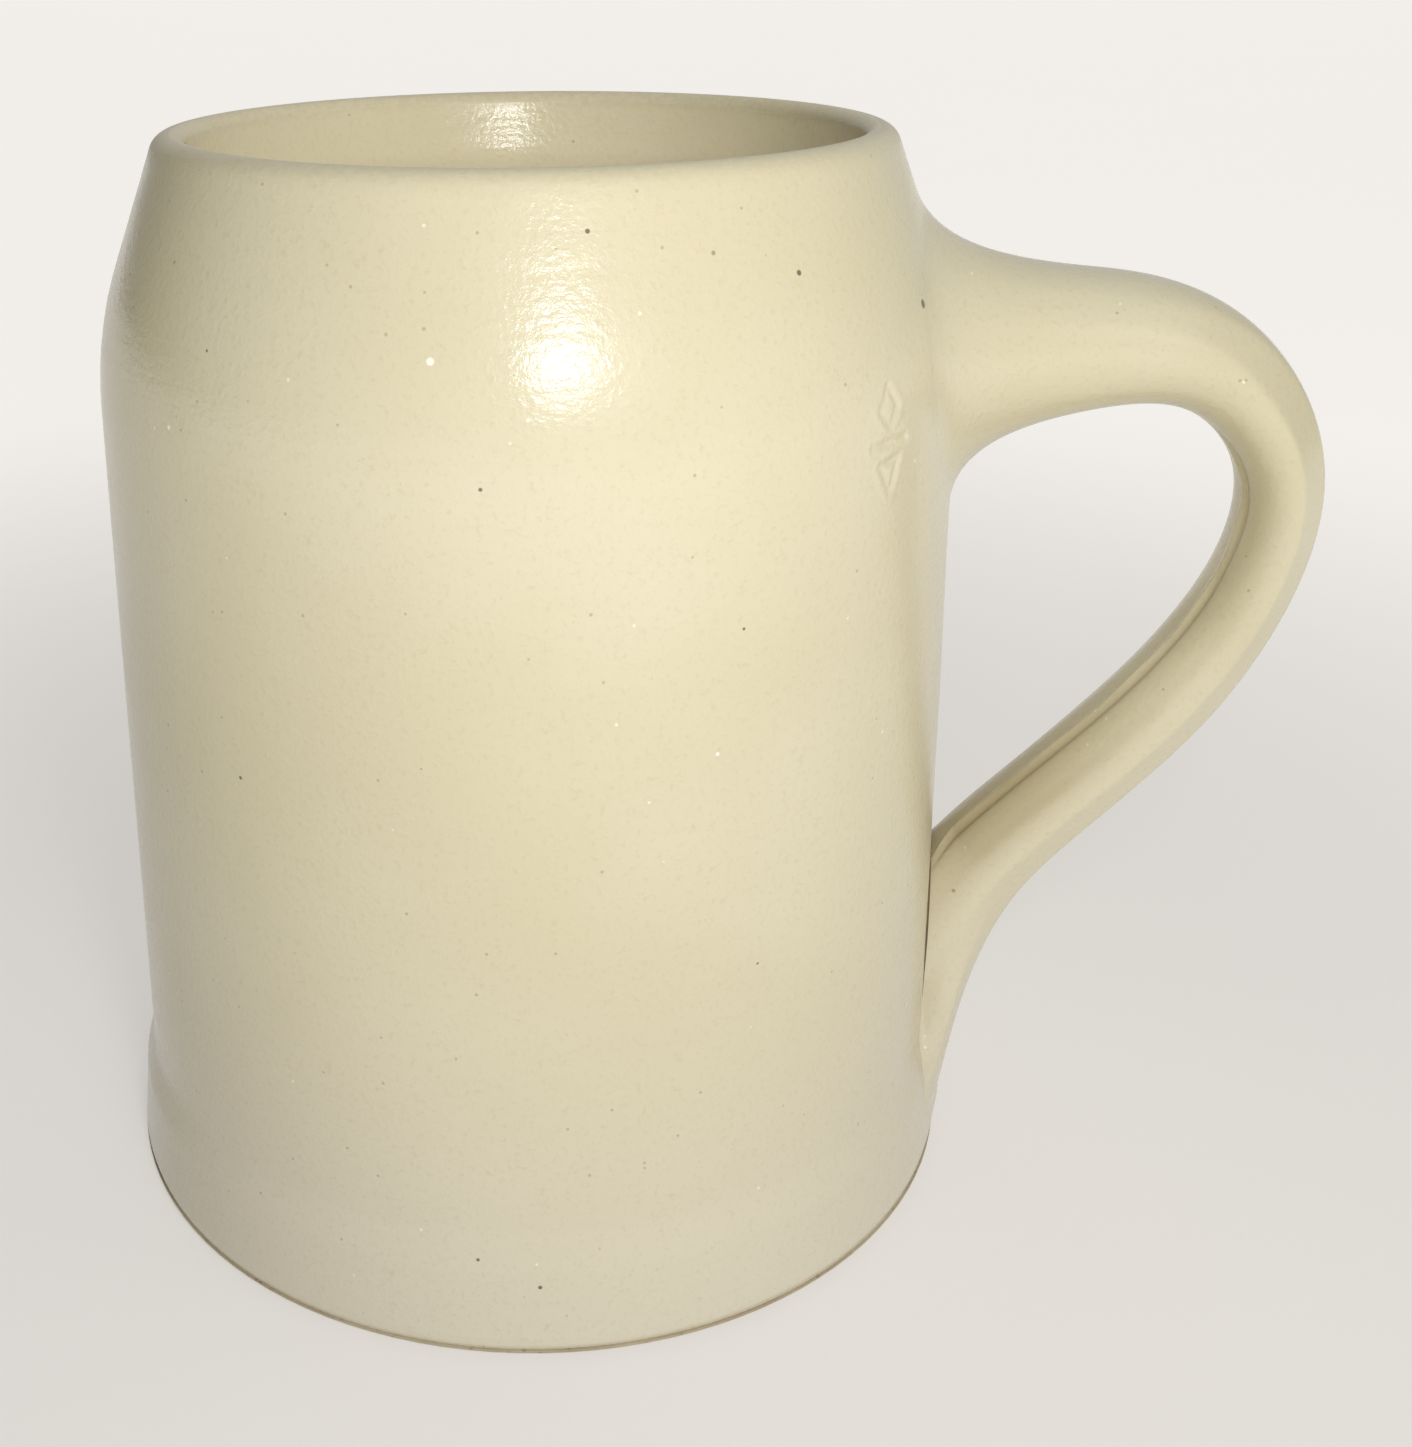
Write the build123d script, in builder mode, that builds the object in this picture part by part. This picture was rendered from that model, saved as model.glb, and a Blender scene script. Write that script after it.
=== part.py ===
from build123d import *

import math
import os

# Half-litre stoneware beer mug: a turned body with a fill line pressed into it, a pressed
# handle joined on with slip at two roots, and a coat of glaze over all but the foot ring.
# Millimetres. The origin is on the mug's axis, in the plane that the foot ring stands on.
# +Z is up, and the handle reaches out along +X.

# ---- driving dimensions ----
HEIGHT = 120.0  # foot to the crest of the lip
WALL = 4.6  # wall of the body, measured square to it
GLAZE = 0.3  # thickness of the fired glaze
SLIP = 0.8  # thickness of the slip behind each handle root, keyed into the scored wall
GLAZE_LINE = 1.0  # the glaze stops at this height, above the bare foot ring

FOOT_RADIUS = 51.2  # foot band, at its widest
FOOT_EDGE = 0.6  # height of that
BAND_TOP = (50.0, 10.8)  # radius and height of the band's upper edge
WALL_FOOT = (48.8, 14.6)  # radius and height where the straight wall starts
SHOULDER_FOOT = (46.1, 96.6)  # radius and height of the shoulder's two corners
SHOULDER_TOP = (44.5, 104.0)
SHOULDER_FILLET = 20.0
LIP = (38.1, HEIGHT)  # where the slope above the shoulder would reach the full height
LIP_INSIDE = (35.2, HEIGHT)  # where the throat would
THROAT = (34.1, 110.5)  # narrowest place of the hollow, below the lip

FLOOR = 7.0  # height of the floor inside
RECESS = 1.5  # depth of the recess under the floor
RECESS_RADIUS = 42.0
RING_INNER = 43.5  # foot ring: radii of the bare face that the mug stands on
RING_OUTER = 50.2

FILL_LINE = 94.0  # height of the pressed fill line, for half a litre
FILL_LINE_PLACE = -36.5  # degrees about +Z from the handle
FILL_LINE_SWEEP = 7.0  # degrees
GROOVE_RADIUS = 0.6  # section of the fill line's groove, once it is glazed
PAST_AXIS = -10.0  # outlines start and end here, and are cut off at the axis

# The handle's centre line lies in the XZ plane, from the upper root to the lower one.
HANDLE_LINE = [
    (36, 94.5),
    (46, 96.5),
    (56, 98),
    (62, 98.1),
    (73.7, 95.4),
    (81.9, 84),
    (80.8, 71),
    (74.8, 59),
    (64.6, 46.5),
    (54.3, 34.5),
    (47.5, 22),
    (43.5, 8),
]
# Place along that line (0 to 1), half the width along Y, and half the thickness.
HANDLE_SECTIONS = [
    (0.00, 22.0, 15.5),
    (0.075, 16.5, 13.2),
    (0.11, 12.0, 9.8),
    (0.15, 9.6, 7.9),
    (0.21, 8.4, 6.7),
    (0.35, 7.7, 4.5),
    (0.47, 7.3, 4.3),
    (0.60, 6.9, 5.2),
    (0.755, 6.6, 5.7),
    (0.90, 7.4, 5.9),
    (1.00, 9.5, 5.0),
]


# ---- outlines ----
def inset_corner(before, corner, after, inset):
    """The corner between two lines, once both lines are moved to their left by inset."""
    first = math.atan2(corner[1] - before[1], corner[0] - before[0])
    turn = math.atan2(after[1] - corner[1], after[0] - corner[0]) - first
    turn = math.remainder(turn, 2 * math.pi)
    reach = inset / math.cos(turn / 2)
    middle = first + turn / 2
    return (corner[0] - reach * math.sin(middle), corner[1] + reach * math.cos(middle)), turn


def inset_outline(corners, inset):
    """Closed outline, drawn with its inside to the left, made smaller all round by inset."""
    moved = []
    for index, (corner, fillet_radius) in enumerate(corners):
        before = corners[index - 1][0]
        after = corners[(index + 1) % len(corners)][0]
        place, turn = inset_corner(before, corner, after, inset)
        moved.append((place, max(0, fillet_radius - math.copysign(inset, turn))))
    return moved


def wall_corners(inset):
    """Corners of the shoulder and the lip, from the bottom up, on a line inset from the outside."""
    foot, _ = inset_corner(WALL_FOOT, SHOULDER_FOOT, SHOULDER_TOP, inset)
    top, _ = inset_corner(SHOULDER_FOOT, SHOULDER_TOP, LIP, inset)
    slope = math.atan2(SHOULDER_TOP[0] - LIP[0], LIP[1] - SHOULDER_TOP[1])
    return foot, top, (LIP[0] - inset / math.cos(slope), HEIGHT)


# Corners with their fillet radii, from under the floor up the outside to the shoulder.
OUTSIDE = [
    ((PAST_AXIS, RECESS), 0),
    ((RECESS_RADIUS, RECESS), 1.0),
    ((RING_INNER, 0), 0.8),
    ((RING_OUTER, 0), 0.5),
    ((FOOT_RADIUS, FOOT_EDGE), 0.8),
    (BAND_TOP, 7.0),
    (WALL_FOOT, 7.0),
    (SHOULDER_FOOT, SHOULDER_FILLET),
    (SHOULDER_TOP, SHOULDER_FILLET),
]


def body_corners():
    """Corners and fillet radii of the whole body: the outside, the lip and the hollow."""
    shoulder_foot, shoulder_top, _ = wall_corners(WALL)
    return OUTSIDE + [
        (LIP, 2.15),
        (LIP_INSIDE, 1.5),
        (THROAT, 8.0),
        (shoulder_top, SHOULDER_FILLET - WALL),
        (shoulder_foot, SHOULDER_FILLET - WALL),
        ((WALL_FOOT[0] - WALL, FLOOR), 8.0),
        ((PAST_AXIS, FLOOR), 0),
    ]


def filled_corners():
    """The same with the hollow filled in and the lip left square."""
    return OUTSIDE + [(LIP, 0), ((PAST_AXIS, HEIGHT), 0)]


def half_section(corners):
    """Half section on +X from the corners and fillet radii of a closed outline."""
    with BuildSketch(Plane.XZ) as section:
        with BuildLine():
            FilletPolyline(
                *[corner for corner, fillet_radius in corners],
                radius=[fillet_radius for corner, fillet_radius in corners],
                close=True,
            )
        make_face()
        Rectangle(2 * FOOT_RADIUS, 3 * HEIGHT, align=(Align.MIN, Align.CENTER), mode=Mode.INTERSECT)
    return section.sketch_local


def inner_half():
    """Half section of all that is inside the middle of the wall, open at the top."""
    shoulder_foot, shoulder_top, lip = wall_corners(WALL / 2)
    floor_middle = (FLOOR + RECESS) / 2
    with BuildSketch(Plane.XZ) as section:
        with BuildLine():
            Polyline(
                (0, floor_middle),
                (WALL_FOOT[0] - WALL / 2, floor_middle),
                shoulder_foot,
                shoulder_top,
                lip,
                (lip[0], HEIGHT + WALL),
                (0, HEIGHT + WALL),
                close=True,
            )
        make_face()
    return section.sketch_local


def handle_outline(half_width, half_thickness):
    """Handle section: a flat back with two trimmed edges, and a round side for the fingers."""
    back = 0.40 * half_width
    edge = (0.93 * half_width, 0.30 * half_thickness)
    Polyline((-edge[0], edge[1]), (-back, half_thickness), (back, half_thickness), edge)
    ThreePointArc(edge, (0, -half_thickness), (-edge[0], edge[1]))


# ---- solids that the pieces are cut from ----
def turned(section):
    """Solid of revolution about the mug's axis, with its seam on the side away from the handle."""
    away_from_handle = Plane(origin=(0, 0, 0), x_dir=(-1, 0, 0), z_dir=(0, 1, 0))
    with BuildPart() as solid:
        with BuildSketch(away_from_handle):
            add(section)
        revolve(axis=Axis.Z)
    return solid.part


def handle_blank(inset):
    """The whole handle, from inside the wall to inside the wall, made thinner by inset."""
    with BuildLine(Plane.XZ) as centre_line:
        Spline(*HANDLE_LINE)
    with BuildPart() as blank:
        for place, half_width, half_thickness in HANDLE_SECTIONS:
            station = Plane(
                origin=centre_line.line @ place,
                x_dir=(0, 1, 0),
                z_dir=centre_line.line % place,
            )
            with BuildSketch(station):
                with BuildLine():
                    handle_outline(half_width - inset, half_thickness - inset)
                make_face()
        loft()
    return blank.part


def fill_line_bar(bar_radius):
    """Short round bar, bent round the outside of the wall at the fill line."""
    lean = (WALL_FOOT[0] - SHOULDER_FOOT[0]) / (SHOULDER_FOOT[1] - WALL_FOOT[1])
    wall_radius = WALL_FOOT[0] - lean * (FILL_LINE - WALL_FOOT[1])
    start = Plane.XZ.rotated((0, 0, FILL_LINE_PLACE - FILL_LINE_SWEEP / 2))
    with BuildPart() as bar:
        with BuildSketch(start):
            with Locations((wall_radius, FILL_LINE)):
                Circle(bar_radius)
        revolve(axis=Axis.Z, revolution_arc=FILL_LINE_SWEEP)
    return bar.part


# The glaze coat covers both sides of the wall, down to the glaze line. The underside stays bare.
with BuildSketch(Plane.XZ) as coat_section:
    add(half_section(body_corners()))
    add(half_section(inset_outline(body_corners(), GLAZE)), mode=Mode.SUBTRACT)
    with Locations((0, GLAZE_LINE)):
        Rectangle(2 * FOOT_RADIUS, 2 * HEIGHT, align=(Align.MIN, Align.MIN), mode=Mode.INTERSECT)
    Rectangle(2 * RING_OUTER, FLOOR, mode=Mode.SUBTRACT)

inside = turned(inner_half())
coat = turned(coat_section.sketch_local)
glazed_body = turned(half_section(body_corners()))
glazed_wall = turned(half_section(filled_corners()))
scored_wall = turned(half_section(inset_outline(filled_corners(), SLIP)))
clay_handle = handle_blank(GLAZE)
clay_groove = fill_line_bar(GROOVE_RADIUS + GLAZE)

# ---- slip: one thin layer behind each root ----
with BuildPart() as both_slips:
    add(clay_handle)
    add(glazed_wall, mode=Mode.INTERSECT)
    add(scored_wall, mode=Mode.SUBTRACT)

with BuildPart() as upper_slip_joint:
    add(both_slips.part.solids().sort_by(Axis.Z)[-1])
upper_slip_joint.part.label = "upper_slip_joint"

with BuildPart() as lower_slip_joint:
    add(both_slips.part.solids().sort_by(Axis.Z)[0])
lower_slip_joint.part.label = "lower_slip_joint"

# ---- body: the clay, with its bare foot ring ----
with BuildPart() as stoneware_body:
    add(glazed_body)
    add(coat, mode=Mode.SUBTRACT)
    add(clay_groove, mode=Mode.SUBTRACT)
    add(both_slips.part, mode=Mode.SUBTRACT)
stoneware_body.part.label = "stoneware_body"

# ---- handle: the clay, cut to the wall ----
with BuildPart() as handle:
    add(clay_handle)
    add(glazed_wall, mode=Mode.SUBTRACT)
handle.part.label = "handle"

# ---- glaze: the liner, the outside of the body, and the handle ----
with BuildPart() as inside_glaze:
    add(coat)
    add(inside, mode=Mode.INTERSECT)
inside_glaze.part.label = "inside_glaze"

with BuildPart() as groove_lining:
    add(clay_groove)
    add(glazed_body, mode=Mode.INTERSECT)

with BuildPart() as outside_glaze:
    add(coat)
    add(inside, mode=Mode.SUBTRACT)
    add(groove_lining.part)
    add(fill_line_bar(GROOVE_RADIUS), mode=Mode.SUBTRACT)
    add(clay_handle, mode=Mode.SUBTRACT)
outside_glaze.part.label = "outside_glaze"

with BuildPart() as handle_glaze:
    add(handle_blank(0))
    add(clay_handle, mode=Mode.SUBTRACT)
    add(glazed_wall, mode=Mode.SUBTRACT)
handle_glaze.part.label = "handle_glaze"

# ---- how much it holds up to the fill line ----
with BuildPart() as drink:
    add(inside)
    with Locations((0, 0, FILL_LINE)):
        Cylinder(FOOT_RADIUS, HEIGHT, align=(Align.CENTER, Align.CENTER, Align.MIN), mode=Mode.SUBTRACT)
    add(glazed_body, mode=Mode.SUBTRACT)
print(f"holds {drink.part.volume / 1000:.0f} mL up to the fill line")

os.makedirs("parts", exist_ok=True)
export_step(stoneware_body.part, "parts/stoneware_body.step")
export_step(handle.part, "parts/handle.step")
export_step(upper_slip_joint.part, "parts/upper_slip_joint.step")
export_step(lower_slip_joint.part, "parts/lower_slip_joint.step")
export_step(inside_glaze.part, "parts/inside_glaze.step")
export_step(outside_glaze.part, "parts/outside_glaze.step")
export_step(handle_glaze.part, "parts/handle_glaze.step")
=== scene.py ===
"""Half-litre stoneware beer mug: glaze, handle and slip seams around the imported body.

Lengths are in millimetres until a mesh or an object is made. The row frame has its origin on the
mug's axis at the table, +Z up, and the handle along +X. The near side of the handle is -Y.
"""

import math

import bpy
import numpy as np
from mathutils import Matrix, Vector


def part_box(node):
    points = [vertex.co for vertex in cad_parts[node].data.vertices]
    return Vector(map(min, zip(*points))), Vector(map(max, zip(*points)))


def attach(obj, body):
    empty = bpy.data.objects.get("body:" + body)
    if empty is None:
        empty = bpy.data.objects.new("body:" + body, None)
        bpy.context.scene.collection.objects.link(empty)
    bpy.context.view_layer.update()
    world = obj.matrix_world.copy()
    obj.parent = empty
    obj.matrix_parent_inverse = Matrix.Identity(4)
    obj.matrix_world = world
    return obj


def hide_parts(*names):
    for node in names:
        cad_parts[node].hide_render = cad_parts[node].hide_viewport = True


MM = 0.001

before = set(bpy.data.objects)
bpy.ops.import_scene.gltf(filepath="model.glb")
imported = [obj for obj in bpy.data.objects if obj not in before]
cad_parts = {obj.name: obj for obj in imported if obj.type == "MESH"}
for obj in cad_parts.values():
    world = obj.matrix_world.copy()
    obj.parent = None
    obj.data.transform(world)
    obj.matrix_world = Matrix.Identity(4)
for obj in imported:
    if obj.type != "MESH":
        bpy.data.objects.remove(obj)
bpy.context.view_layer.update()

# ---- sizes of the body, from its profile ----
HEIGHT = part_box("outside_glaze")[1].z / MM
GLAZE = 0.3  # thickness of the coat
WALL = 4.6
FLOOR = 7.0  # height of the floor inside
GLAZE_LINE = 0.9  # height where the outside coat starts, above the bare foot ring
CREST_RADIUS = 36.55  # the outside and the inside coat meet here, on top of the lip
WALL_FOOT_RADIUS = 48.8
WALL_RADIUS = 46.5  # turns azimuths into distances round the wall
# Corners of the outside (radius, height) with their fillet radii, from the foot to the lip.
OUTSIDE = [
    ((50.2, 0.0), 0.0),
    ((51.2, 0.6), 0.8),
    ((50.0, 10.8), 7.0),
    ((WALL_FOOT_RADIUS, 14.6), 7.0),
    ((45.95, 100.4), 41.7),
    ((38.1, HEIGHT), 2.15),
    ((CREST_RADIUS, HEIGHT), 0.0),
]
# The same for the hollow, from the lip to the axis.
INSIDE = [
    ((CREST_RADIUS, HEIGHT), 0.0),
    ((35.2, HEIGHT), 1.5),
    ((34.1, 110.5), 8.0),
    ((40.09, 102.65), 15.4),
    ((41.52, 96.03), 15.4),
    ((WALL_FOOT_RADIUS - WALL, FLOOR), 8.0),
    ((0.0, FLOOR), 0.0),
]

# ---- sizes of the handle ----
# Centre line (distance from the axis, height), knot by knot from the upper root to the lower one.
HANDLE_LINE = np.array(
    [
        (48.1, 96.4),
        (60.2, 98.1),
        (73.7, 95.4),
        (81.9, 84.0),
        (80.8, 71.1),
        (74.8, 59.0),
        (64.6, 46.5),
        (54.3, 34.5),
        (45.5, 18.0),
    ]
)
# Half-width and half-thickness at evenly spaced places along it.
HALF_WIDTH = np.array([10.1, 8.3, 7.6, 7.2, 6.8, 6.5, 6.5])
HALF_THICKNESS = np.array([9.3, 6.7, 4.5, 4.3, 5.2, 5.7, 7.7])
STEM_START = 0.13  # places along the line where the stem runs over into the two roots
STEM_END = 0.86
STEM_RINGS = 190
ROOT_RINGS = 36
SECTION_POWER = 2.2  # 2 would make the section an ellipse, and more is squarer
# The two edges of its back are trimmed flat: which way each flat faces, and how far out it lies.
FACET_FACING = math.radians(35.2)
FACET_REACH = 0.904
FACET_SHARPNESS = 60.0
SEAM_PLACE = 0.36  # of the half-width, from the middle of the finger side to the near side
UPPER_ROOT_HEIGHT = 99.3  # heights that the outlines of the two roots on the wall are drawn about
LOWER_ROOT_HEIGHT = 22.0

# ---- the pressed mark: a fill line, with a plain lozenge above it and a triangle below ----
FILL_LINE_HEIGHT = 94.0
MARK_PLACE = math.radians(-36.5)
MARK_RADIUS = 46.2  # of the wall there
FILL_LINE_SWEEP = math.radians(7.0)
LOZENGE = [(0.0, 99.3), (1.5, 97.2), (0.0, 95.6), (-1.5, 97.2)]
TRIANGLE = [(1.7, 92.3), (-1.5, 92.0), (0.2, 89.3)]
GROOVE_DEPTH = 0.17
GROOVE_WIDTH = 0.40


# ---- curves ----
def rounded_path(corners, spacing):
    """Points along a run of straight lines whose corners are rounded by the radii given."""
    points = [np.array(corners[0][0], float)]

    def run_to(end):
        start = points[-1]
        count = max(1, math.ceil(np.linalg.norm(end - start) / spacing))
        points.extend(start + (end - start) * (k + 1) / count for k in range(count))

    for before, here, after in zip(corners, corners[1:], corners[2:]):
        corner = np.array(here[0], float)
        leaving = corner - np.array(before[0], float)
        leaving /= np.linalg.norm(leaving)
        arriving = np.array(after[0], float) - corner
        arriving /= np.linalg.norm(arriving)
        turn = math.atan2(
            leaving[0] * arriving[1] - leaving[1] * arriving[0], float(leaving @ arriving)
        )
        reach = here[1] * math.tan(abs(turn) / 2)
        run_to(corner - leaving * reach)
        start = points[-1]
        left = np.array([-leaving[1], leaving[0]]) * math.copysign(1, turn)
        centre = start + left * here[1]
        count = max(math.ceil(here[1] * abs(turn) / spacing), math.ceil(abs(turn) / math.radians(5)))
        for k in range(count):
            angle = turn * (k + 1) / count
            arm = start - centre
            rotated = np.array(
                [
                    arm[0] * math.cos(angle) - arm[1] * math.sin(angle),
                    arm[0] * math.sin(angle) + arm[1] * math.cos(angle),
                ]
            )
            points.append(centre + rotated)
    run_to(np.array(corners[-1][0], float))
    return np.array(points)


def right_normals(path):
    """Unit normals of a path in the plane, on its right-hand side as it runs."""
    along = np.gradient(path, axis=0)
    along /= np.linalg.norm(along, axis=1)[:, None]
    return np.stack([along[:, 1], -along[:, 0]], axis=1)


def spline(knots, values, at):
    """Natural cubic spline through values (one row per knot), read at the places given."""
    values = np.asarray(values, float).reshape(len(knots), -1)
    step = np.diff(knots)
    count = len(knots)
    system = np.eye(count)
    right = np.zeros_like(values)
    for k in range(1, count - 1):
        system[k, k - 1 : k + 2] = step[k - 1], 2 * (step[k - 1] + step[k]), step[k]
        right[k] = 6 * (
            (values[k + 1] - values[k]) / step[k] - (values[k] - values[k - 1]) / step[k - 1]
        )
    bend = np.linalg.solve(system, right)
    at = np.atleast_1d(at)
    k = np.clip(np.searchsorted(knots, at) - 1, 0, count - 2)
    h = step[k][:, None]
    a = (knots[k + 1][:, None] - at[:, None]) / h
    b = 1 - a
    return (
        a * values[k]
        + b * values[k + 1]
        + ((a**3 - a) * bend[k] + (b**3 - b) * bend[k + 1]) * h**2 / 6
    )


def smooth_step(x):
    """0 up to x = 0, 1 from x = 1, and an even curve between."""
    x = np.clip(x, 0, 1)
    return x * x * (3 - 2 * x)


# ---- meshes ----
def surface_normals(points, turns):
    """Unit normals of a grid whose columns go all the way round, at the angles in turns."""
    wrapped = np.concatenate([points[:, -1:], points, points[:, :1]], axis=1)
    angles = np.concatenate([[turns[-1] - 2 * math.pi], turns, [turns[0] + 2 * math.pi]])
    around = np.gradient(wrapped, angles, axis=1)[:, 1:-1]
    steps = np.linalg.norm(np.diff(points, axis=0), axis=2).mean(axis=1)
    along = np.gradient(points, np.concatenate([[0], np.cumsum(steps)]), axis=0)
    normals = np.cross(around, along)
    return normals / np.maximum(np.linalg.norm(normals, axis=2, keepdims=True), 1e-12)


def grid_faces(rows, columns, closed_rows):
    """Quads of a grid whose columns go all the way round."""
    faces = []
    for i in range(rows if closed_rows else rows - 1):
        for j in range(columns):
            here, up = i * columns, (i + 1) % rows * columns
            right = (j + 1) % columns
            faces.append((here + j, here + right, up + right, up + j))
    return faces


def make_piece(name, points, faces, normals, material, replaced):
    """Mesh object from points in millimetres, standing for one CAD node."""
    mesh = bpy.data.meshes.new(name)
    mesh.from_pydata((points * MM).tolist(), [], faces)
    mesh.shade_smooth()
    if normals is not None:
        mesh.normals_split_custom_set_from_vertices(normals.tolist())
    mesh.materials.append(material)
    piece = bpy.data.objects.new(name, mesh)
    bpy.context.scene.collection.objects.link(piece)
    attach(piece, "root")
    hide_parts(replaced)
    return piece


# ---- body ----
def refined(path, low, high, spacing):
    """The same path with more points where its height is between low and high."""
    length = np.concatenate([[0], np.cumsum(np.linalg.norm(np.diff(path, axis=0), axis=1))])
    inside = (path[:, 1] > low) & (path[:, 1] < high)
    fine = np.arange(length[inside].min(), length[inside].max(), spacing)
    places = np.unique(np.round(np.concatenate([length, fine]), 3))
    keep = np.concatenate([[True], np.diff(places) > spacing * 0.3])
    places = places[keep]
    return np.stack([np.interp(places, length, path[:, k]) for k in range(2)], axis=1)


def body_columns():
    """Azimuths round the body, closer together at the mark."""
    plain = np.radians(np.arange(-180, 180, 1.25))
    half = FILL_LINE_SWEEP / 2 + math.radians(3)
    fine = np.arange(MARK_PLACE - half, MARK_PLACE + half, math.radians(0.2))
    away = np.abs(plain - MARK_PLACE) > half + math.radians(0.6)
    return np.sort(np.concatenate([plain[away], fine]))


def turning_marks(azimuth, height):
    """Relief of the faint rings and unevenness that turning leaves in the wall."""
    rings = 0.006 * np.sin(height * 1.35 + 0.6 * np.sin(azimuth))
    rings = rings + 0.003 * np.sin(height * 2.9 + 1.3 + np.sin(2 * azimuth + 1))
    waves = 0.05 * np.sin(2 * azimuth + 0.7 + height * 0.02)
    return rings + waves + 0.03 * np.sin(3 * azimuth + height * 0.05)


def distance_to_line(x, y, start, end):
    """Distance of points in the plane from a straight line between two points."""
    along = (end[0] - start[0], end[1] - start[1])
    share = ((x - start[0]) * along[0] + (y - start[1]) * along[1]) / (along[0] ** 2 + along[1] ** 2)
    share = np.clip(share, 0, 1)
    return np.hypot(x - start[0] - share * along[0], y - start[1] - share * along[1])


def pressed_mark(azimuth, height):
    """Relief of the fill line and the two plain shapes by it, pressed into the outside of the wall."""
    across = (azimuth - MARK_PLACE) * MARK_RADIUS
    half = FILL_LINE_SWEEP * MARK_RADIUS / 2
    nearest = distance_to_line(across, height, (-half, FILL_LINE_HEIGHT), (half, FILL_LINE_HEIGHT))
    for shape in (LOZENGE, TRIANGLE):
        for start, end in zip(shape, shape[1:] + shape[:1]):
            nearest = np.minimum(nearest, distance_to_line(across, height, start, end))
    fading = 0.75 + 0.25 * np.sin(across * 1.7 + height * 1.1)
    groove = np.exp(-((nearest / GROOVE_WIDTH) ** 2))
    lifted = np.exp(-(((nearest - 0.85) / 0.4) ** 2))
    return (0.06 * lifted - GROOVE_DEPTH * groove) * fading


def coat_shell(path, columns, shape):
    """Closed shell: the path turned about the axis, and back under itself by the glaze's thickness."""
    outward = right_normals(path)
    thickness = GLAZE * smooth_step((path[:, 1] - GLAZE_LINE) / 0.8)
    thickness = np.maximum(thickness, 0.04)
    clay = path - outward * GLAZE
    surface = clay + outward * thickness[:, None]
    azimuth = columns[None, :]
    clear_of_lip = smooth_step((HEIGHT - path[:, 1]) / 2.5)[:, None]
    depth = shape(azimuth, path[:, 1][:, None]) * clear_of_lip
    radius = surface[:, 0][:, None] + outward[:, 0][:, None] * depth
    height = surface[:, 1][:, None] + outward[:, 1][:, None] * depth
    front = turned_grid(radius, height, columns)
    under = clay[::-3] + outward[::-3] * 0.01
    back = turned_grid(under[:, 0][:, None] + 0 * azimuth, under[:, 1][:, None] + 0 * azimuth, columns)
    return front, back


def turned_grid(radius, height, columns):
    """Points at the radii and heights given, at each azimuth in columns."""
    radius = np.maximum(radius, 0.02)
    return np.stack([radius * np.cos(columns), radius * np.sin(columns), height + 0 * radius], axis=2)


def make_coat(name, path, shape, material, replaced):
    """The outside or the inside of the body's glaze, as a closed shell on its clay."""
    columns = body_columns()
    front, back = coat_shell(path, columns, shape)
    normals = np.concatenate([surface_normals(front, columns), surface_normals(back, columns)])
    grid = np.concatenate([front, back])
    faces = grid_faces(len(grid), len(columns), True)
    points, normals = grid.reshape(-1, 3), normals.reshape(-1, 3)
    return make_piece(name, points, faces, normals, material, replaced)


# ---- handle ----
def section_angles():
    """Angles round the handle's section: 0 is the near side, 90 degrees is the back."""
    plain = np.radians(np.arange(0, 360, 3.0))
    seam = np.radians(np.arange(278, 312, 0.9))
    edges = [np.radians(np.arange(centre - 6, centre + 6, 1.0)) for centre in (15, 68, 112, 165)]
    every = np.sort(np.concatenate([plain, seam] + edges))
    keep = np.concatenate([[True], np.diff(every) > math.radians(0.4)])
    return every[keep]


def section_reach(angle, trim):
    """Distance from the middle of a section of size 1, with the two back edges trimmed flat."""
    power = SECTION_POWER
    round_reach = (np.abs(np.cos(angle)) ** power + np.abs(np.sin(angle)) ** power) ** (-1 / power)
    reach = round_reach + 0 * trim
    for facet in (FACET_FACING, math.pi - FACET_FACING):
        lean = np.cos(angle - facet)
        flat = np.where(lean > 0.2, (FACET_REACH + 0.13 * (1 - trim)) / np.maximum(lean, 0.2), 9.0)
        together = np.exp(-FACET_SHARPNESS * reach) + np.exp(-FACET_SHARPNESS * flat)
        reach = -np.log(together) / FACET_SHARPNESS
    return reach


def seam_strength(across, along):
    """How far the mould seam has come up at a place along the line, 0 to 1, and the offset from it."""
    wander = 0.25 * np.sin(along * 9.0 + 0.5) + 0.15 * np.sin(along * 23.0)
    return smooth_step((along - 0.26) / 0.12), across - wander


def seam_relief(across, along):
    """Height of the mould seam on the finger side: a groove with an uneven ridge beside it."""
    strength, offset = seam_strength(across, along)
    ridge = 0.26 * np.exp(-(((offset + 0.95) / 0.34) ** 2)) * (0.75 + 0.25 * np.sin(along * 61.0))
    groove = 0.26 * np.exp(-((offset / 0.45) ** 2))
    return strength * (ridge - groove)


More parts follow.
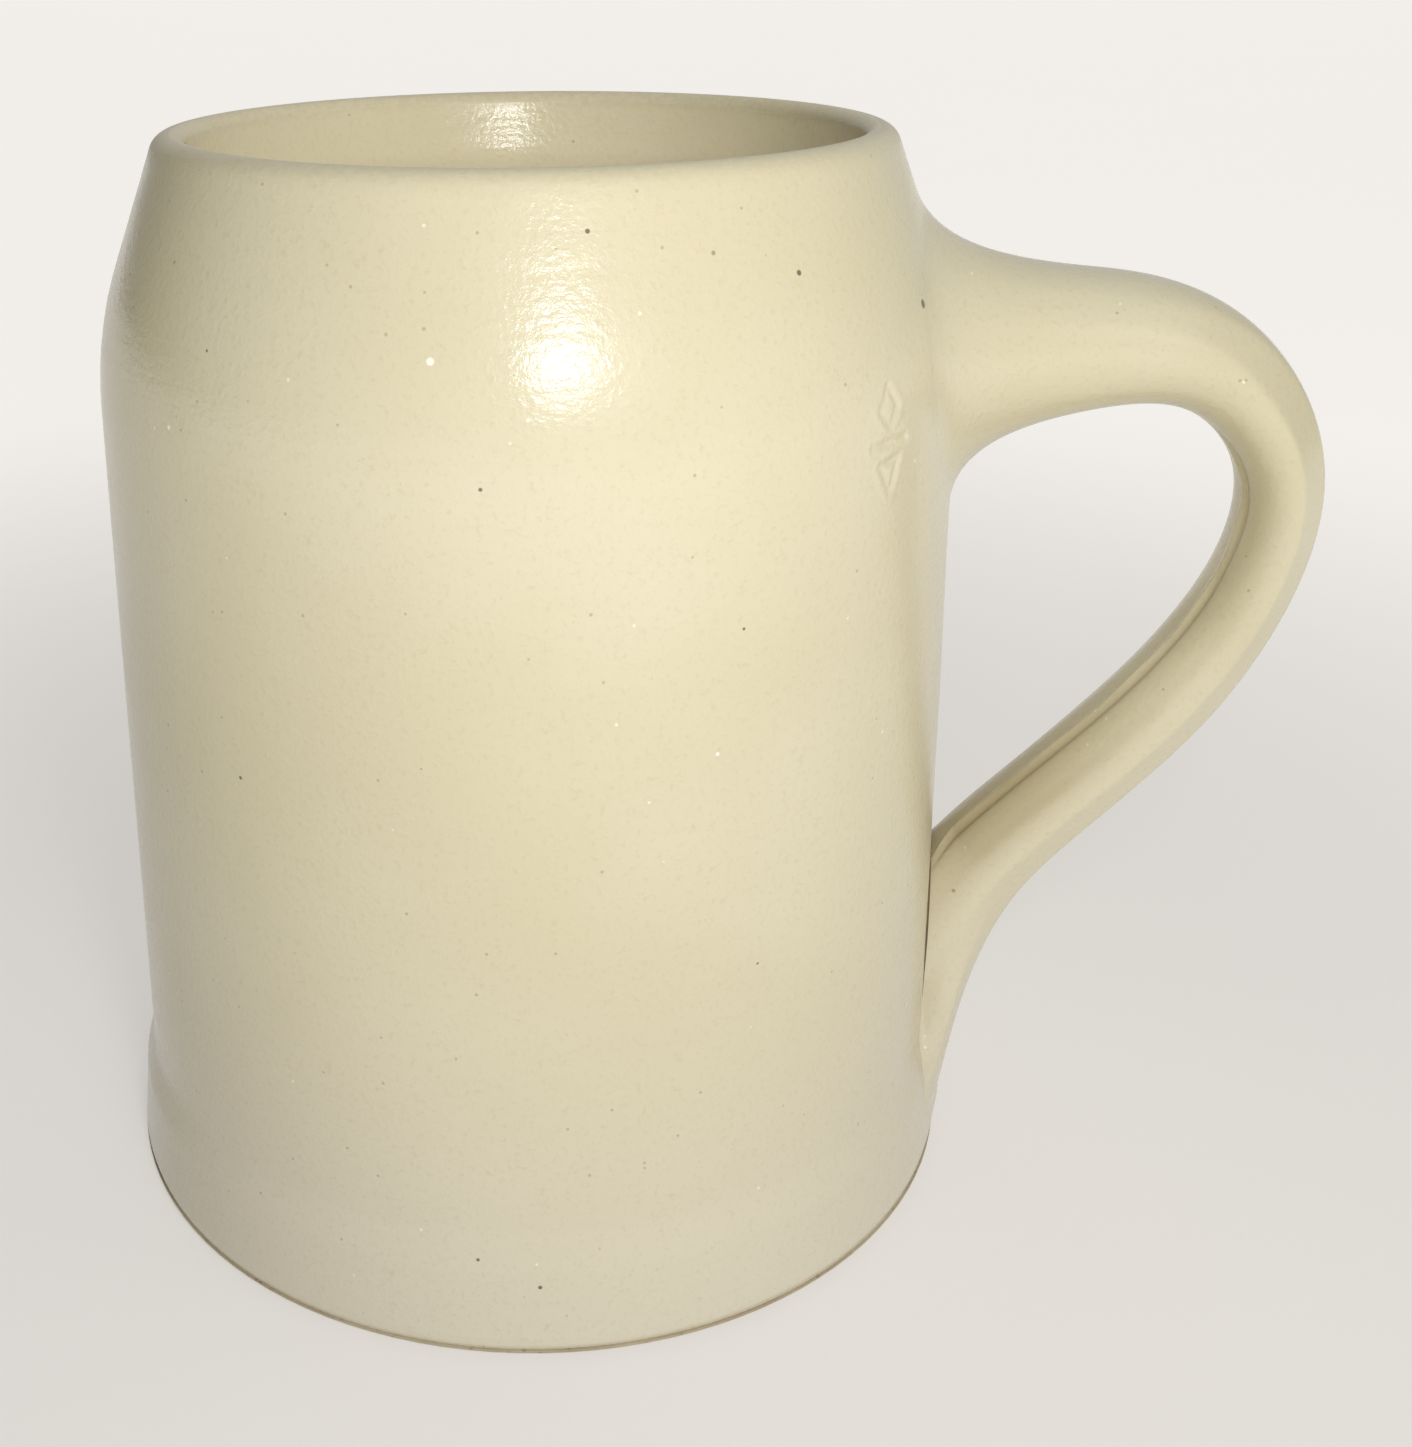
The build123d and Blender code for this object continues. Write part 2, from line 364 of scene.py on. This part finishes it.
def stem_rows(places, angles):
    """Rings of the handle between its two roots, and how much glaze pooling and painted shade lie on
    them.
    """
    knots = np.linspace(0, 1, len(HANDLE_LINE))
    centre = spline(knots, HANDLE_LINE, places)
    ahead = spline(knots, HANDLE_LINE, places + 1e-4) - spline(knots, HANDLE_LINE, places - 1e-4)
    ahead /= np.linalg.norm(ahead, axis=1)[:, None]
    outer = np.stack([-ahead[:, 1], ahead[:, 0]], axis=1)
    sizes = np.linspace(0, 1, len(HALF_WIDTH))
    half_width = spline(sizes, HALF_WIDTH, places)
    half_thickness = spline(sizes, HALF_THICKNESS, places)
    trim = smooth_step((places - 0.16) / 0.16)[:, None]
    reach = section_reach(angles[None, :], trim)
    near = half_width * reach * np.cos(angles)
    back = half_thickness * reach * np.sin(angles)
    seam = SEAM_PLACE * half_width
    finger_side = smooth_step(-np.sin(angles) * 4 - 1)
    back = back - finger_side * seam_relief(near - seam, places[:, None])
    waves = np.sin(places[:, None] * 31 + np.sin(angles) * 2)
    back = back + 0.07 * waves * np.cos(angles - places[:, None] * 9)
    x = centre[:, 0][:, None] + outer[:, 0][:, None] * back
    z = centre[:, 1][:, None] + outer[:, 1][:, None] * back
    strength, offset = seam_strength(near - seam, places[:, None])
    pooled_glaze_and_shade = 0.25 * finger_side * strength * np.exp(-((offset / 0.8) ** 2))
    # Painted shade: the finger side and the face towards the mug are made browner along the stem's lower
    # part.
    inner_face_shade = smooth_step(0.20 - 1.6 * np.sin(angles))
    pooled_glaze_and_shade = pooled_glaze_and_shade + 0.10 * finger_side * smooth_step((places[:, None] - 0.55) / 0.25)
    pooled_glaze_and_shade = pooled_glaze_and_shade + 0.36 * inner_face_shade * smooth_step((places[:, None] - 0.60) / 0.24)
    return np.stack([x, -near, z], axis=2), np.clip(pooled_glaze_and_shade, 0, 1)


outside_line = rounded_path(OUTSIDE, 1.2)
RISING_LINE = outside_line[outside_line[:, 1].argsort()]


def wall_point(across, height):
    """Point on the outside of the body: across is measured round the wall, towards the near side."""
    radius = np.interp(height, RISING_LINE[:, 1], RISING_LINE[:, 0])
    azimuth = -across / WALL_RADIUS
    return np.stack([radius * np.cos(azimuth), radius * np.sin(azimuth), height], axis=-1)


def upper_footprint(angles, scale):
    """Where the upper root meets the wall: an egg, widest above its middle."""
    up, down, side = 14.6, 19.0, 19.6
    rise = np.where(np.sin(angles) > 0, up, down)
    height = UPPER_ROOT_HEIGHT + scale * rise * np.sin(angles)
    return wall_point(scale * side * np.cos(angles), height)


def lower_footprint(angles, scale):
    """Where the lower root meets the wall: narrow, with a tail that spreads as it runs down."""
    down, up, side = 20.5, 14.0, 6.9
    fall = np.where(np.sin(angles) > 0, down, up)
    spread = 1 + 1.4 * smooth_step(np.sin(angles) * 1.15)
    across = np.sign(np.cos(angles)) * np.abs(np.cos(angles)) ** 0.6
    height = LOWER_ROOT_HEIGHT - scale * fall * np.sin(angles)
    return wall_point(scale * side * spread * across, height)


def root_rows(start, before, footprint, angles, start_pull, end_pull, lift, count):
    """Rings that carry the handle's first or last ring on to the wall.

    Each runs on from the ring before it, and arrives along the wall where end_pull is large.
    It stands off the wall there by lift."""
    heading = start - before
    heading /= np.linalg.norm(heading, axis=1)[:, None]
    end = footprint(angles, 1.0)
    spreading = footprint(angles, 1.02) - end
    spreading /= np.linalg.norm(spreading, axis=1)[:, None]
    distance = np.linalg.norm(end - start, axis=1)[:, None]
    first = start + heading * distance * start_pull[:, None]
    outward = end * np.array([1, 1, 0])
    outward /= np.linalg.norm(outward, axis=1)[:, None]
    second = end - spreading * distance * end_pull[:, None] + outward * lift[:, None]
    rows = []
    for step in range(1, count + 1):
        t = smooth_step(step / count) * 0.5 + 0.5 * step / count
        rows.append(
            (1 - t) ** 3 * start
            + 3 * (1 - t) ** 2 * t * first
            + 3 * (1 - t) * t**2 * second
            + t**3 * end
        )
    return rows


def handle_grid():
    """All rings of the handle from the lower footprint to the upper one, with their glaze pooling and
    painted shade.

    Also gives the angles of the points on each ring."""
    angles = section_angles()
    places = np.linspace(STEM_START, STEM_END, STEM_RINGS)
    stem, pooled_glaze_and_shade = stem_rows(places, angles)
    top = smooth_step(np.sin(angles))
    under = smooth_step(-np.sin(angles))
    tail = smooth_step(np.sin(angles) * 1.2)
    upper = root_rows(
        stem[0],
        stem[1],
        upper_footprint,
        angles,
        0.34 + 0.02 * top + 0.12 * under,
        0.30 + 0.04 * top + 0.02 * under,
        0 * angles,
        ROOT_RINGS,
    )
    lower = root_rows(
        stem[-1],
        stem[-2],
        lower_footprint,
        angles,
        0.36 + 0 * tail,
        0.01 + 0.28 * tail,
        (1.3 + 2.3 * np.abs(np.cos(angles))) * tail,
        ROOT_RINGS,
    )
    rings = upper[::-1] + list(stem) + lower
    fade = np.linspace(0, 1, ROOT_RINGS + 1)[1:, None]
    # Painted shade: the lower root grows browner as it nears the wall, except on its back, and most on
    # its far side.
    lower_root_shade = (1 - tail) * (0.15 + 0.85 * (1 - np.maximum(0, np.cos(angles)))) * 0.6
    lower_pooled_glaze_and_shade = pooled_glaze_and_shade[-1] * (1 - fade) + lower_root_shade * smooth_step((fade - 0.3) / 0.7)
    upper_pooled_glaze_and_shade = pooled_glaze_and_shade[0] * (1 - fade)
    shades = np.concatenate([upper_pooled_glaze_and_shade[::-1], pooled_glaze_and_shade, lower_pooled_glaze_and_shade])
    return np.array(rings[::-1]), shades[::-1], angles


def under_surface(points, depth):
    """The same points moved straight towards the mug's axis by depth."""
    outward = points * np.array([1, 1, 0])
    return points - depth * outward / np.linalg.norm(outward, axis=1)[:, None]


def capped(grid, angles):
    """Points and faces of a tube of rings, closed at both ends just inside the wall."""
    rows, columns = grid.shape[:2]
    footprints = (lower_footprint, upper_footprint)
    lower, upper = (under_surface(footprint(angles, 0.7), 1.0) for footprint in footprints)
    rings = np.concatenate([lower[None], grid, upper[None]])
    faces = grid_faces(rows + 2, columns, False)
    points = rings.reshape(-1, 3)
    first, last = len(points), len(points) + 1
    middles = [under_surface(footprint(angles[:1], 0.0), 1.0) for footprint in footprints]
    points = np.concatenate([points] + middles)
    bottom = (rows + 1) * columns
    for j in range(columns):
        right = (j + 1) % columns
        faces.append((first, right, j))
        faces.append((last, bottom + j, bottom + right))
    return points, faces


def tube_along(route, radius, sides=10):
    """Rings of points of a tube that follows a closed route and ends where it began."""
    ahead = np.roll(route, -1, axis=0) - np.roll(route, 1, axis=0)
    ahead /= np.linalg.norm(ahead, axis=1)[:, None]
    outward = route * np.array([1, 1, 0])
    outward /= np.linalg.norm(outward, axis=1)[:, None]
    side = np.cross(ahead, outward)
    side /= np.linalg.norm(side, axis=1)[:, None]
    turns = np.linspace(0, 2 * math.pi, sides, endpoint=False)
    rings = (
        route[:, None]
        + radius[:, None, None] * np.cos(turns)[None, :, None] * outward[:, None]
        + radius[:, None, None] * np.sin(turns)[None, :, None] * side[:, None]
    )
    return rings


# ---- materials ----
class Nodes:
    """Small helper that adds and links shader nodes."""

    def __init__(self, name):
        self.material = bpy.data.materials.new(name)
        self.material.use_nodes = True
        self.tree = self.material.node_tree
        self.shader = self.tree.nodes["Principled BSDF"]

    def add(self, kind, inputs=None, **settings):
        node = self.tree.nodes.new(kind)
        for key, value in settings.items():
            setattr(node, key, value)
        for key, value in (inputs or {}).items():
            if isinstance(value, bpy.types.NodeSocket):
                self.tree.links.new(value, node.inputs[key])
            else:
                node.inputs[key].default_value = value
        return node

    def place(self):
        return self.add("ShaderNodeTexCoord").outputs["Object"]

    def noise(self, scale, detail=2.0, roughness=0.5):
        return self.add(
            "ShaderNodeTexNoise",
            {"Vector": self.place(), "Scale": scale, "Detail": detail, "Roughness": roughness},
        ).outputs["Fac"]

    def ramp(self, value, low, high, out_low=0.0, out_high=1.0):
        return self.add(
            "ShaderNodeMapRange",
            {"Value": value, "From Min": low, "From Max": high, "To Min": out_low, "To Max": out_high},
            interpolation_type="SMOOTHSTEP",
        ).outputs["Result"]

    def math(self, operation, first, second=0.0):
        return self.add("ShaderNodeMath", {0: first, 1: second}, operation=operation).outputs[0]

    def mix(self, amount, first, second):
        return self.add(
            "ShaderNodeMix", {"Factor": amount, "A": first, "B": second}, data_type="RGBA"
        ).outputs["Result"]

    def link(self, value, socket):
        self.tree.links.new(value, self.shader.inputs[socket])


def linear(red, green, blue):
    """Linear colour from eight-bit display values."""

    def channel(value):
        value /= 255
        return value / 12.92 if value <= 0.04045 else ((value + 0.055) / 1.055) ** 2.4

    return (channel(red), channel(green), channel(blue), 1.0)


# Random specks in the glaze: cells in a metre, size in the cell, colour, and share of cells with one.
SPECK_KINDS = (
    (300.0, 0.09, linear(120, 96, 62), 0.010),
    (900.0, 0.20, linear(168, 150, 108), 0.03),
    (650.0, 0.15, linear(246, 242, 226), 0.03),
)
PALE_SPECK = linear(250, 246, 232)
DARK_SPECK = linear(74, 60, 44)
SPECK_RAISED = 0.1  # the single specks are centred this far outside the wall's line


def glaze_material(name, colour, pooled_glaze_and_shade, channel, spots=()):
    """Glossy, faintly uneven stoneware glaze with fine specks. It is browner where glaze has run
    together, and where painted shade is laid on the handle.

    channel, 0 to 2, picks which random cells hold a speck, so that no two materials match."""
    nodes = Nodes(name)
    place = nodes.place()
    height = nodes.add("ShaderNodeSeparateXYZ", {0: place}).outputs["Z"]

    cloud = nodes.noise(28.0, 3.0)
    tint = nodes.mix(nodes.ramp(cloud, 0.35, 0.68), colour, scaled(colour, 0.955, 0.945, 0.90))
    tint = nodes.mix(nodes.ramp(height, 0.0, 0.055, 0.8, 0.0), tint, scaled(colour, 1.0, 1.0, 1.12))
    fine = nodes.noise(1500.0, 3.0, 0.7)
    tint = nodes.mix(nodes.ramp(fine, 0.5, 0.8, 0.0, 0.45), tint, scaled(colour, 0.80, 0.76, 0.66))

    for scale, size, colour_of_speck, share in SPECK_KINDS:
        cells = nodes.add(
            "ShaderNodeTexVoronoi", {"Vector": place, "Scale": scale, "Randomness": 1.0}, feature="F1"
        )
        chosen = nodes.add("ShaderNodeSeparateColor", {0: cells.outputs["Color"]}).outputs[channel]
        present = nodes.math("LESS_THAN", chosen, share)
        spot = nodes.ramp(cells.outputs["Distance"], size * 0.5, size, 0.6, 0.0)
        tint = nodes.mix(nodes.math("MULTIPLY", spot, present), tint, colour_of_speck)
    for azimuth, level, width, light in spots:
        radius = float(np.interp(level, RISING_LINE[:, 1], RISING_LINE[:, 0])) + SPECK_RAISED
        turn = math.radians(azimuth)
        centre = (radius * math.cos(turn) * MM, radius * math.sin(turn) * MM, level * MM)
        apart = nodes.add("ShaderNodeVectorMath", {0: place, 1: centre}, operation="DISTANCE")
        spot = nodes.ramp(apart.outputs["Value"], width * 0.35 * MM, width * 0.6 * MM, 0.8, 0.0)
        tint = nodes.mix(spot, tint, PALE_SPECK if light else DARK_SPECK)

    lip = nodes.ramp(height, (HEIGHT - 2.4) * MM, HEIGHT * MM)
    grain = nodes.ramp(nodes.noise(1300.0, 4.0, 0.75), 0.35, 0.65, 0.25, 0.5)
    tint = nodes.mix(nodes.math("MULTIPLY", lip, grain), tint, linear(190, 181, 150))
    # Per-vertex share of brown: glaze pooling in the seam groove, and painted shade on the handle's
    # finger side and lower root.
    pooled_glaze_and_shade_share = nodes.add("ShaderNodeAttribute", attribute_name="pooled_glaze_and_shade").outputs["Fac"]
    tint = nodes.mix(pooled_glaze_and_shade_share, tint, pooled_glaze_and_shade)
    nodes.link(tint, "Base Color")

    rough = nodes.ramp(nodes.noise(60.0, 4.0, 0.6), 0.3, 0.7, 0.14, 0.22)
    nodes.link(nodes.math("ADD", rough, nodes.math("MULTIPLY", lip, 0.16)), "Roughness")
    nodes.shader.inputs["IOR"].default_value = 1.5

    thrown = nodes.add("ShaderNodeVectorMath", {0: place, 1: (1.0, 1.0, 9.0)}, operation="MULTIPLY")
    rings = nodes.add(
        "ShaderNodeTexNoise", {"Vector": thrown.outputs["Vector"], "Scale": 70.0, "Detail": 3.0}
    ).outputs["Fac"]
    peel = nodes.add(
        "ShaderNodeBump",
        {"Height": nodes.noise(1500.0, 3.0, 0.6), "Strength": 0.75, "Distance": 0.00008},
    ).outputs["Normal"]
    turned_rings = nodes.add(
        "ShaderNodeBump",
        {"Height": rings, "Strength": 0.4, "Distance": 0.00012, "Normal": peel},
    ).outputs["Normal"]
    rippled = nodes.add(
        "ShaderNodeBump",
        {"Height": nodes.noise(170.0), "Strength": 0.35, "Distance": 0.00012, "Normal": turned_rings},
    ).outputs["Normal"]
    nodes.link(rippled, "Normal")
    return nodes.material


def scaled(colour, red, green, blue):
    """The same colour with each channel multiplied."""
    return (colour[0] * red, colour[1] * green, colour[2] * blue, 1.0)


def clay_material(name, pale, dark_patch):
    """Bare fired stoneware: matt and gritty."""
    nodes = Nodes(name)
    body = nodes.mix(nodes.ramp(nodes.noise(90.0, 5.0, 0.65), 0.3, 0.7), pale, dark_patch)
    grit = nodes.add("ShaderNodeTexVoronoi", {"Vector": nodes.place(), "Scale": 900.0})
    dark = nodes.ramp(grit.outputs["Distance"], 0.1, 0.3, 0.5, 0.0)
    nodes.link(nodes.mix(dark, body, linear(120, 104, 80)), "Base Color")
    nodes.link(nodes.ramp(nodes.noise(400.0, 4.0), 0.3, 0.7, 0.62, 0.82), "Roughness")
    bump = nodes.add(
        "ShaderNodeBump", {"Height": nodes.noise(1400.0, 4.0, 0.7), "Strength": 0.5, "Distance": 0.00015}
    )
    nodes.link(bump.outputs["Normal"], "Normal")
    return nodes.material


def floor_material():
    """Pale, smooth table top, which gives off some light of its own, more of it further away."""
    nodes = Nodes("pale_table")
    nodes.link(
        nodes.mix(nodes.noise(6.0, 3.0), linear(172, 169, 163), linear(168, 165, 160)), "Base Color"
    )
    nodes.shader.inputs["Roughness"].default_value = 0.6
    nodes.shader.inputs["Specular IOR Level"].default_value = 0.2
    nodes.shader.inputs["Emission Color"].default_value = (1.0, 0.975, 0.94, 1.0)
    away = nodes.add("ShaderNodeVectorMath", {0: nodes.place()}, operation="LENGTH").outputs["Value"]
    nodes.link(nodes.ramp(away, 0.08, 0.40, 0.45, 0.71), "Emission Strength")
    return nodes.material


def store(piece, name, values):
    """Per-vertex value that the materials read."""
    attribute = piece.data.attributes.new(name, "FLOAT", "POINT")
    attribute.data.foreach_set("value", np.asarray(values, np.float32).ravel())


# ---- pieces ----
# Single specks in the outside glaze: degrees from the handle, height, width, and whether it is pale.
SPECKS = [
    (-48.9, 110.5, 0.55, False),
    (-125.2, 104.1, 0.45, False),
    (-76.6, 115.2, 0.45, False),
    (-89.4, 94.5, 0.45, False),
    (-97.0, 67.6, 0.40, False),
    (-122.0, 62.7, 0.50, False),
    (-84.3, 8.9, 0.55, False),
    (-91.8, 11.9, 0.45, False),
    (-59.4, 79.8, 0.35, False),
    (-56.4, 43.5, 0.40, False),
    (-23.7, 105.1, 0.95, False),
    (-95.0, 105.1, 0.75, True),
    (-131.5, 96.4, 0.60, True),
    (-62.5, 67.7, 0.45, True),
    (-100.7, 60.9, 0.40, True),
]
GLAZE_COLOUR = linear(215, 207, 177)
# Painted light: the hollow has the same glaze as the outside, laid paler to stand for light that the
# lamps don't bring into it.
INSIDE_GLAZE_PAINTED_PALER = linear(237, 227, 193)
POOLED_GLAZE_AND_SHADE_COLOUR = linear(150, 132, 88)
outside_look = glaze_material("outside_glaze_look", GLAZE_COLOUR, POOLED_GLAZE_AND_SHADE_COLOUR, 0, SPECKS)
inside_look = glaze_material("inside_glaze_look", INSIDE_GLAZE_PAINTED_PALER, POOLED_GLAZE_AND_SHADE_COLOUR, 1)
handle_look = glaze_material("handle_glaze_look", GLAZE_COLOUR, POOLED_GLAZE_AND_SHADE_COLOUR, 2)
clay_look = clay_material("bare_stoneware", linear(188, 176, 148), linear(170, 156, 126))
# Painted shade: the lower slip bead is bare clay laid far darker, standing for the shade in the crack
# where the lower root meets the wall.
crack_shade_look = clay_material("slip_with_crack_shade", linear(112, 94, 62), linear(84, 68, 42))


def near_roots(azimuth, height):
    """1 under and beside the two roots of the handle, 0 away from them."""
    across = np.angle(np.exp(1j * azimuth)) * WALL_RADIUS
    upper = np.hypot(across / 27, (height - 98) / 22)
    lower = np.hypot(across / 15, (height - 27) / 22)
    return 1 - smooth_step((np.minimum(upper, lower) - 1) / 0.5)


def tail_swell(azimuth, height):
    """Swelling of the foot band where the lower root's tail is smoothed down over it."""
    across = np.angle(np.exp(1j * azimuth)) * WALL_RADIUS
    level = smooth_step((height - 1.2) / 2.6) * (1 - smooth_step((height - 6.0) / 9.0))
    return 1.05 * np.exp(-((across / 9.0) ** 2)) * level


def outside_shape(azimuth, height):
    """Relief of the outside, calm where the handle's roots have to meet it."""
    calm = 1 - near_roots(azimuth, height)
    relief = turning_marks(azimuth, height) * calm + pressed_mark(azimuth, height)
    return relief + tail_swell(azimuth, height)


def inside_shape(azimuth, height):
    """Relief of the hollow. It grows more like the outside's towards the lip, where the two meet."""
    toward_lip = smooth_step((height - 60) / (HEIGHT - 60))
    return turning_marks(azimuth, height) * (1 - near_roots(azimuth, height) * toward_lip)


def above(path, height):
    """The part of a rising path above a height, starting exactly there."""
    rising = int(np.argmax(path[:, 1] > height))
    before, after = path[rising - 1], path[rising]
    share = (height - before[1]) / (after[1] - before[1])
    return np.concatenate([[before + (after - before) * share], path[rising:]])


outside_path = above(rounded_path(OUTSIDE, 0.9), GLAZE_LINE)
outside_path = refined(outside_path, 88.0, 100.8, 0.16)
inside_path = rounded_path(INSIDE, 1.2)
make_coat("outside_glaze_skin", outside_path, outside_shape, outside_look, "outside_glaze")
make_coat("inside_glaze_skin", inside_path, inside_shape, inside_look, "inside_glaze")

grid, shades, section = handle_grid()
points, faces = capped(grid, section)
normals = surface_normals(grid, section)
all_normals = np.concatenate(
    [normals[:1].reshape(-1, 3), normals.reshape(-1, 3), normals[-1:].reshape(-1, 3)]
)
toward_axis = np.array([[-1.0, 0, 0], [-1.0, 0, 0]])
all_normals = np.concatenate([all_normals, toward_axis])
handle_skin = make_piece(
    "handle_skin", points, faces, all_normals, handle_look, "handle_glaze"
)
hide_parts("handle")
store(
    handle_skin,
    "pooled_glaze_and_shade",
    np.concatenate([shades[:1].ravel(), shades.ravel(), shades[-1:].ravel(), [0.0, 0.0]]),
)


def slip_bead(name, footprint, radius, sunk, look, replaced):
    """Bead of slip round a root, sunk into the wall by a factor on its distance from the axis."""
    angles = np.linspace(0, 2 * math.pi, 120, endpoint=False)
    route = footprint(angles, 1.0) * np.array([sunk, sunk, 1.0])
    rings = tube_along(route, radius(angles))
    sides = rings.shape[1]
    return make_piece(
        name,
        rings.reshape(-1, 3),
        grid_faces(len(rings), sides, True),
        None,
        look,
        replaced,
    )


slip_bead(
    "upper_slip_seam",
    upper_footprint,
    lambda a: 0.25 + 0 * a,
    0.990,
    clay_look,
    "upper_slip_joint",
)
slip_bead(
    "lower_slip_seam",
    lower_footprint,
    lambda a: 0.42 - 0.30 * smooth_step(0.5 + np.sin(a)),
    0.996,
    crack_shade_look,
    "lower_slip_joint",
)

# The CAD solids that still show are bare clay.
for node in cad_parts.values():
    if not node.hide_render:
        node.data.materials.clear()
        node.data.materials.append(clay_look)

# ---- table, light and camera ----
HALF_TABLE = 4.0  # metres
TABLE_DROP = 0.00005  # the table lies this far under the foot ring, so the two never fight
floor_mesh = bpy.data.meshes.new("table_top")
corners = [(x * HALF_TABLE, y * HALF_TABLE, 0) for x, y in ((-1, -1), (1, -1), (1, 1), (-1, 1))]
floor_mesh.from_pydata(corners, [], [(0, 1, 2, 3)])
floor_mesh.materials.append(floor_material())
floor = bpy.data.objects.new("table_top", floor_mesh)
floor.location.z = -TABLE_DROP
bpy.context.scene.collection.objects.link(floor)

WORLD_STRENGTH = 0.60
world = bpy.data.worlds.new("studio")
world.use_nodes = True
world_nodes = world.node_tree.nodes
backdrop = world_nodes["Background"]
backdrop.inputs["Color"].default_value = (1.0, 0.982, 0.945, 1.0)
direction = world_nodes.new("ShaderNodeTexCoord")
level = world_nodes.new("ShaderNodeValue")
level.outputs[0].default_value = WORLD_STRENGTH
strength = level.outputs[0]
# The room is darker on both sides of the camera: where to, from and to which turn, and by how much.
for heading, first, last, darker in (
    ((-0.93, -0.37, 0.0), 0.02, 0.58, 0.60),
    ((0.96, -0.28, 0.0), 0.1, 0.85, 0.44),
):
    facing = world_nodes.new("ShaderNodeVectorMath")
    facing.operation = "DOT_PRODUCT"
    facing.inputs[1].default_value = heading
    shade = world_nodes.new("ShaderNodeMapRange")
    shade.inputs["From Min"].default_value = first
    shade.inputs["From Max"].default_value = last
    shade.inputs["To Max"].default_value = darker
    less = world_nodes.new("ShaderNodeMath")
    less.operation = "SUBTRACT"
    world.node_tree.links.new(direction.outputs["Generated"], facing.inputs[0])
    world.node_tree.links.new(facing.outputs["Value"], shade.inputs["Value"])
    world.node_tree.links.new(strength, less.inputs[0])
    world.node_tree.links.new(shade.outputs["Result"], less.inputs[1])
    strength = less.outputs["Value"]
world.node_tree.links.new(strength, backdrop.inputs["Strength"])
bpy.context.scene.world = world


LAMP_COLOUR = (1.0, 1.0, 1.02)


def add_light(name, size, power, place, target):
    """Round lamp that faces a target. Metres and watts."""
    light = bpy.data.lights.new(name, "AREA")
    light.shape = "DISK"
    light.size = size
    light.energy = power
    light.color = LAMP_COLOUR
    lamp = bpy.data.objects.new(name, light)
    lamp.location = place
    lamp.rotation_euler = (Vector(target) - Vector(place)).to_track_quat("-Z", "Y").to_euler()
    bpy.context.scene.collection.objects.link(lamp)
    return lamp


add_light("front_light", 0.03, 0.12, (0.0417, -0.1771, 0.164), (0.0, 0.0, 0.075))
fill = add_light("soft_front", 0.5, 3.0, (0.3, -0.7, 0.45), (0, 0, 0.06))
fill.visible_glossy = False

CAMERA_PLACE = (0.01992, -0.18952, 0.1391)
CAMERA_HEADING = math.radians(95.58)
CAMERA_PITCH = math.radians(-24.84)
CAMERA_ROLL = math.radians(-0.70)
LENS = 43.148
SENSOR_WIDTH = 36.0
SHIFT_X = 0.1108
forward = Vector(
    (
        math.cos(CAMERA_HEADING) * math.cos(CAMERA_PITCH),
        math.sin(CAMERA_HEADING) * math.cos(CAMERA_PITCH),
        math.sin(CAMERA_PITCH),
    )
)
level_right = forward.cross(Vector((0, 0, 1))).normalized()
level_up = level_right.cross(forward)
right = math.cos(CAMERA_ROLL) * level_right + math.sin(CAMERA_ROLL) * level_up
up = math.cos(CAMERA_ROLL) * level_up - math.sin(CAMERA_ROLL) * level_right
camera_data = bpy.data.cameras.new("camera")
camera_data.lens = LENS
camera_data.sensor_width = SENSOR_WIDTH
camera_data.shift_x = SHIFT_X
camera_data.clip_start = 0.01
camera_data.clip_end = 50.0
camera = bpy.data.objects.new("camera", camera_data)
turned = Matrix((right, up, -forward)).transposed()
camera.matrix_world = Matrix.Translation(CAMERA_PLACE) @ turned.to_4x4()
bpy.context.scene.collection.objects.link(camera)
bpy.context.scene.camera = camera
bpy.context.scene.view_settings.view_transform = "Standard"
